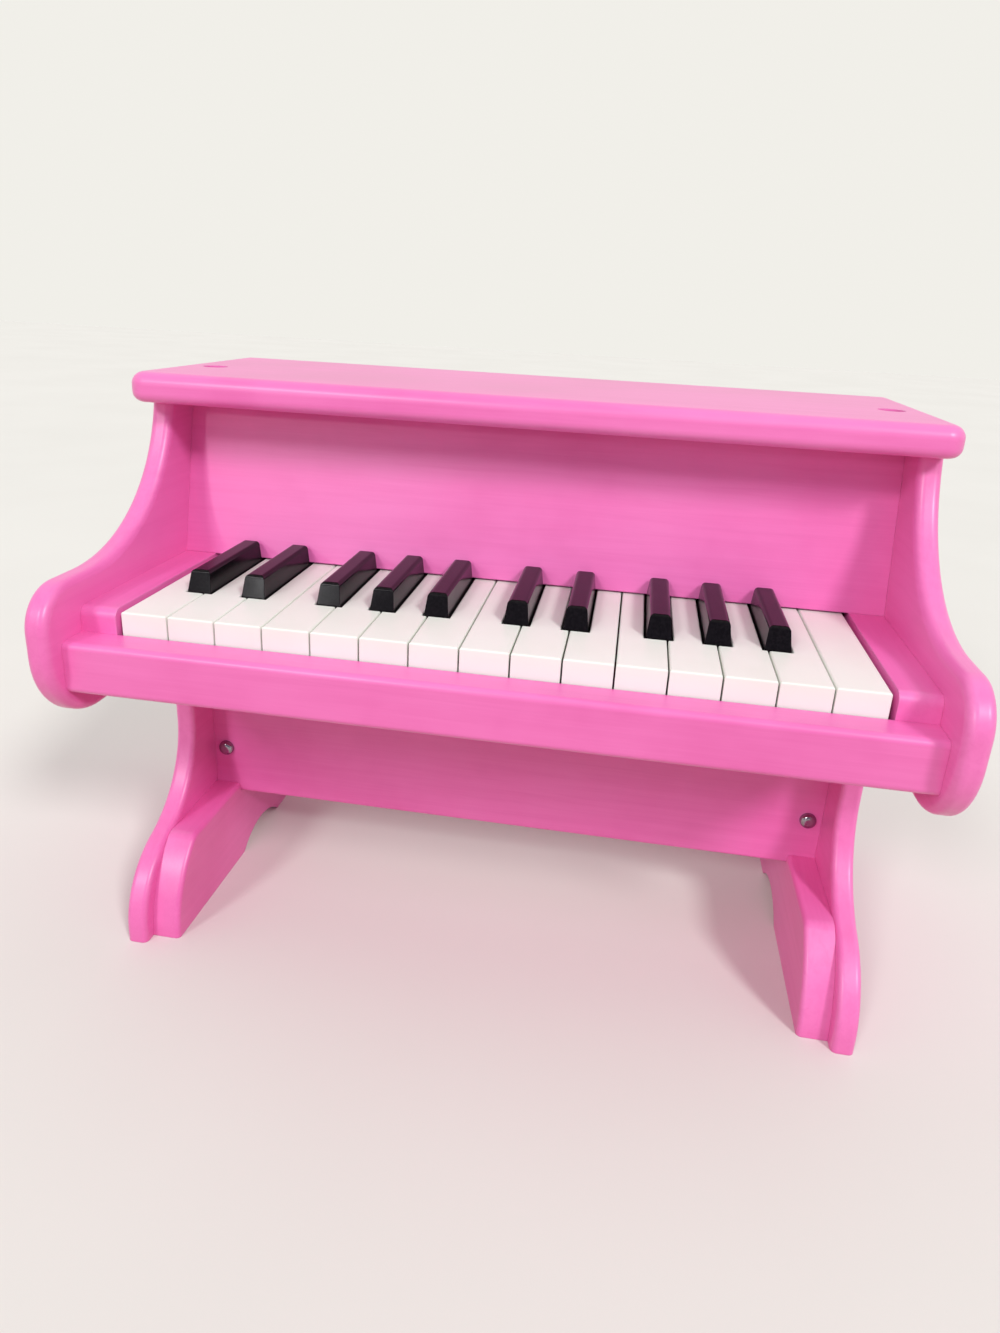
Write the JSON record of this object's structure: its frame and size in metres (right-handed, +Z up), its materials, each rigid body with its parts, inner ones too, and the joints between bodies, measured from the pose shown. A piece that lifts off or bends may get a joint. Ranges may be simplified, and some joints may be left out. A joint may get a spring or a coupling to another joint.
{
  "type": "toy piano",
  "caption": "Small wooden upright toy piano with sprung keys on a pivot rod, hammers and steel tone bars, swept side boards and ogee legs joined by a modesty board.",
  "frame": {"origin": "on the floor under the middle of the piano's bounding box", "axes": "+X to the treble end, -Y to the player, +Z up"},
  "size_m": [0.406, 0.241, 0.292],
  "materials": {
    "pink_paint": "gloss paint on wood board",
    "bare_wood": "bare",
    "felt": "wool felt",
    "steel": "plain steel",
    "chrome": "bright plated",
    "white_plastic": "gloss moulding",
    "black_plastic": "gloss moulding"
  },
  "bodies": {
    "cabinet": {"lid": "pink_paint", "left_side": "pink_paint", "right_side": "pink_paint", "front_panel": "pink_paint", "back_panel": "pink_paint", "keybed": "pink_paint", "key_slip": "pink_paint", "left_cheek_block": "pink_paint", "right_cheek_block": "pink_paint", "left_leg": "pink_paint", "right_leg": "pink_paint", "left_foot": "pink_paint", "right_foot": "pink_paint", "modesty_board": "pink_paint", "top_batten": "bare_wood", "panel_cleats": "bare_wood", "balance_rail": "bare_wood", "rest_rail": "bare_wood", "rail_posts": "bare_wood", "front_bar_rail": "bare_wood", "rear_bar_rail": "bare_wood", "rest_felt": "felt", "stop_felt": "felt", "front_bar_felt": "felt", "rear_bar_felt": "felt", "barrel_nuts": "steel", "leg_screws": "steel", "back_panel_screws": "steel", "lid_screws": "steel", "pivot_rod": "steel", "spring_comb": "steel", "tone_bars": "steel", "bar_pins": "steel", "modesty_bolts": "chrome"},
    "white_key_01": {"white_key_01": "white_plastic"},
    "white_key_02": {"white_key_02": "white_plastic"},
    "white_key_03": {"white_key_03": "white_plastic"},
    "white_key_04": {"white_key_04": "white_plastic"},
    "white_key_05": {"white_key_05": "white_plastic"},
    "white_key_06": {"white_key_06": "white_plastic"},
    "white_key_07": {"white_key_07": "white_plastic"},
    "white_key_08": {"white_key_08": "white_plastic"},
    "white_key_09": {"white_key_09": "white_plastic"},
    "white_key_10": {"white_key_10": "white_plastic"},
    "white_key_11": {"white_key_11": "white_plastic"},
    "white_key_12": {"white_key_12": "white_plastic"},
    "white_key_13": {"white_key_13": "white_plastic"},
    "white_key_14": {"white_key_14": "white_plastic"},
    "white_key_15": {"white_key_15": "white_plastic"},
    "black_key_01": {"black_key_01": "black_plastic"},
    "black_key_02": {"black_key_02": "black_plastic"},
    "black_key_03": {"black_key_03": "black_plastic"},
    "black_key_04": {"black_key_04": "black_plastic"},
    "black_key_05": {"black_key_05": "black_plastic"},
    "black_key_06": {"black_key_06": "black_plastic"},
    "black_key_07": {"black_key_07": "black_plastic"},
    "black_key_08": {"black_key_08": "black_plastic"},
    "black_key_09": {"black_key_09": "black_plastic"},
    "black_key_10": {"black_key_10": "black_plastic"}
  },
  "joints": [
    {"name": "white_key_01_press", "type": "hinge", "parent": "cabinet", "child": "white_key_01", "pos_m": [0, 0.024, 0.18325], "axis": [1, 0, 0], "range_deg": [0, 3.6], "stiffness_Nm_per_rad": 0.1, "springref_deg": -34.38, "deforming": ["spring_comb"]},
    {"name": "white_key_02_press", "type": "hinge", "parent": "cabinet", "child": "white_key_02", "pos_m": [0, 0.024, 0.18325], "axis": [1, 0, 0], "range_deg": [0, 3.6], "stiffness_Nm_per_rad": 0.1, "springref_deg": -34.38, "deforming": ["spring_comb"]},
    {"name": "white_key_03_press", "type": "hinge", "parent": "cabinet", "child": "white_key_03", "pos_m": [0, 0.024, 0.18325], "axis": [1, 0, 0], "range_deg": [0, 3.6], "stiffness_Nm_per_rad": 0.1, "springref_deg": -34.38, "deforming": ["spring_comb"]},
    {"name": "white_key_04_press", "type": "hinge", "parent": "cabinet", "child": "white_key_04", "pos_m": [0, 0.024, 0.18325], "axis": [1, 0, 0], "range_deg": [0, 3.6], "stiffness_Nm_per_rad": 0.1, "springref_deg": -34.38, "deforming": ["spring_comb"]},
    {"name": "white_key_05_press", "type": "hinge", "parent": "cabinet", "child": "white_key_05", "pos_m": [0, 0.024, 0.18325], "axis": [1, 0, 0], "range_deg": [0, 3.6], "stiffness_Nm_per_rad": 0.1, "springref_deg": -34.38, "deforming": ["spring_comb"]},
    {"name": "white_key_06_press", "type": "hinge", "parent": "cabinet", "child": "white_key_06", "pos_m": [0, 0.024, 0.18325], "axis": [1, 0, 0], "range_deg": [0, 3.6], "stiffness_Nm_per_rad": 0.1, "springref_deg": -34.38, "deforming": ["spring_comb"]},
    {"name": "white_key_07_press", "type": "hinge", "parent": "cabinet", "child": "white_key_07", "pos_m": [0, 0.024, 0.18325], "axis": [1, 0, 0], "range_deg": [0, 3.6], "stiffness_Nm_per_rad": 0.1, "springref_deg": -34.38, "deforming": ["spring_comb"]},
    {"name": "white_key_08_press", "type": "hinge", "parent": "cabinet", "child": "white_key_08", "pos_m": [0, 0.024, 0.18325], "axis": [1, 0, 0], "range_deg": [0, 3.6], "stiffness_Nm_per_rad": 0.1, "springref_deg": -34.38, "deforming": ["spring_comb"]},
    {"name": "white_key_09_press", "type": "hinge", "parent": "cabinet", "child": "white_key_09", "pos_m": [0, 0.024, 0.18325], "axis": [1, 0, 0], "range_deg": [0, 3.6], "stiffness_Nm_per_rad": 0.1, "springref_deg": -34.38, "deforming": ["spring_comb"]},
    {"name": "white_key_10_press", "type": "hinge", "parent": "cabinet", "child": "white_key_10", "pos_m": [0, 0.024, 0.18325], "axis": [1, 0, 0], "range_deg": [0, 3.6], "stiffness_Nm_per_rad": 0.1, "springref_deg": -34.38, "deforming": ["spring_comb"]},
    {"name": "white_key_11_press", "type": "hinge", "parent": "cabinet", "child": "white_key_11", "pos_m": [0, 0.024, 0.18325], "axis": [1, 0, 0], "range_deg": [0, 3.6], "stiffness_Nm_per_rad": 0.1, "springref_deg": -34.38, "deforming": ["spring_comb"]},
    {"name": "white_key_12_press", "type": "hinge", "parent": "cabinet", "child": "white_key_12", "pos_m": [0, 0.024, 0.18325], "axis": [1, 0, 0], "range_deg": [0, 3.6], "stiffness_Nm_per_rad": 0.1, "springref_deg": -34.38, "deforming": ["spring_comb"]},
    {"name": "white_key_13_press", "type": "hinge", "parent": "cabinet", "child": "white_key_13", "pos_m": [0, 0.024, 0.18325], "axis": [1, 0, 0], "range_deg": [0, 3.6], "stiffness_Nm_per_rad": 0.1, "springref_deg": -34.38, "deforming": ["spring_comb"]},
    {"name": "white_key_14_press", "type": "hinge", "parent": "cabinet", "child": "white_key_14", "pos_m": [0, 0.024, 0.18325], "axis": [1, 0, 0], "range_deg": [0, 3.6], "stiffness_Nm_per_rad": 0.1, "springref_deg": -34.38, "deforming": ["spring_comb"]},
    {"name": "white_key_15_press", "type": "hinge", "parent": "cabinet", "child": "white_key_15", "pos_m": [0, 0.024, 0.18325], "axis": [1, 0, 0], "range_deg": [0, 3.6], "stiffness_Nm_per_rad": 0.1, "springref_deg": -34.38, "deforming": ["spring_comb"]},
    {"name": "black_key_01_press", "type": "hinge", "parent": "cabinet", "child": "black_key_01", "pos_m": [0, 0.024, 0.18325], "axis": [1, 0, 0], "range_deg": [0, 3.6], "stiffness_Nm_per_rad": 0.1, "springref_deg": -34.38, "deforming": ["spring_comb"]},
    {"name": "black_key_02_press", "type": "hinge", "parent": "cabinet", "child": "black_key_02", "pos_m": [0, 0.024, 0.18325], "axis": [1, 0, 0], "range_deg": [0, 3.6], "stiffness_Nm_per_rad": 0.1, "springref_deg": -34.38, "deforming": ["spring_comb"]},
    {"name": "black_key_03_press", "type": "hinge", "parent": "cabinet", "child": "black_key_03", "pos_m": [0, 0.024, 0.18325], "axis": [1, 0, 0], "range_deg": [0, 3.6], "stiffness_Nm_per_rad": 0.1, "springref_deg": -34.38, "deforming": ["spring_comb"]},
    {"name": "black_key_04_press", "type": "hinge", "parent": "cabinet", "child": "black_key_04", "pos_m": [0, 0.024, 0.18325], "axis": [1, 0, 0], "range_deg": [0, 3.6], "stiffness_Nm_per_rad": 0.1, "springref_deg": -34.38, "deforming": ["spring_comb"]},
    {"name": "black_key_05_press", "type": "hinge", "parent": "cabinet", "child": "black_key_05", "pos_m": [0, 0.024, 0.18325], "axis": [1, 0, 0], "range_deg": [0, 3.6], "stiffness_Nm_per_rad": 0.1, "springref_deg": -34.38, "deforming": ["spring_comb"]},
    {"name": "black_key_06_press", "type": "hinge", "parent": "cabinet", "child": "black_key_06", "pos_m": [0, 0.024, 0.18325], "axis": [1, 0, 0], "range_deg": [0, 3.6], "stiffness_Nm_per_rad": 0.1, "springref_deg": -34.38, "deforming": ["spring_comb"]},
    {"name": "black_key_07_press", "type": "hinge", "parent": "cabinet", "child": "black_key_07", "pos_m": [0, 0.024, 0.18325], "axis": [1, 0, 0], "range_deg": [0, 3.6], "stiffness_Nm_per_rad": 0.1, "springref_deg": -34.38, "deforming": ["spring_comb"]},
    {"name": "black_key_08_press", "type": "hinge", "parent": "cabinet", "child": "black_key_08", "pos_m": [0, 0.024, 0.18325], "axis": [1, 0, 0], "range_deg": [0, 3.6], "stiffness_Nm_per_rad": 0.1, "springref_deg": -34.38, "deforming": ["spring_comb"]},
    {"name": "black_key_09_press", "type": "hinge", "parent": "cabinet", "child": "black_key_09", "pos_m": [0, 0.024, 0.18325], "axis": [1, 0, 0], "range_deg": [0, 3.6], "stiffness_Nm_per_rad": 0.1, "springref_deg": -34.38, "deforming": ["spring_comb"]},
    {"name": "black_key_10_press", "type": "hinge", "parent": "cabinet", "child": "black_key_10", "pos_m": [0, 0.024, 0.18325], "axis": [1, 0, 0], "range_deg": [0, 3.6], "stiffness_Nm_per_rad": 0.1, "springref_deg": -34.38, "deforming": ["spring_comb"]}
  ]
}
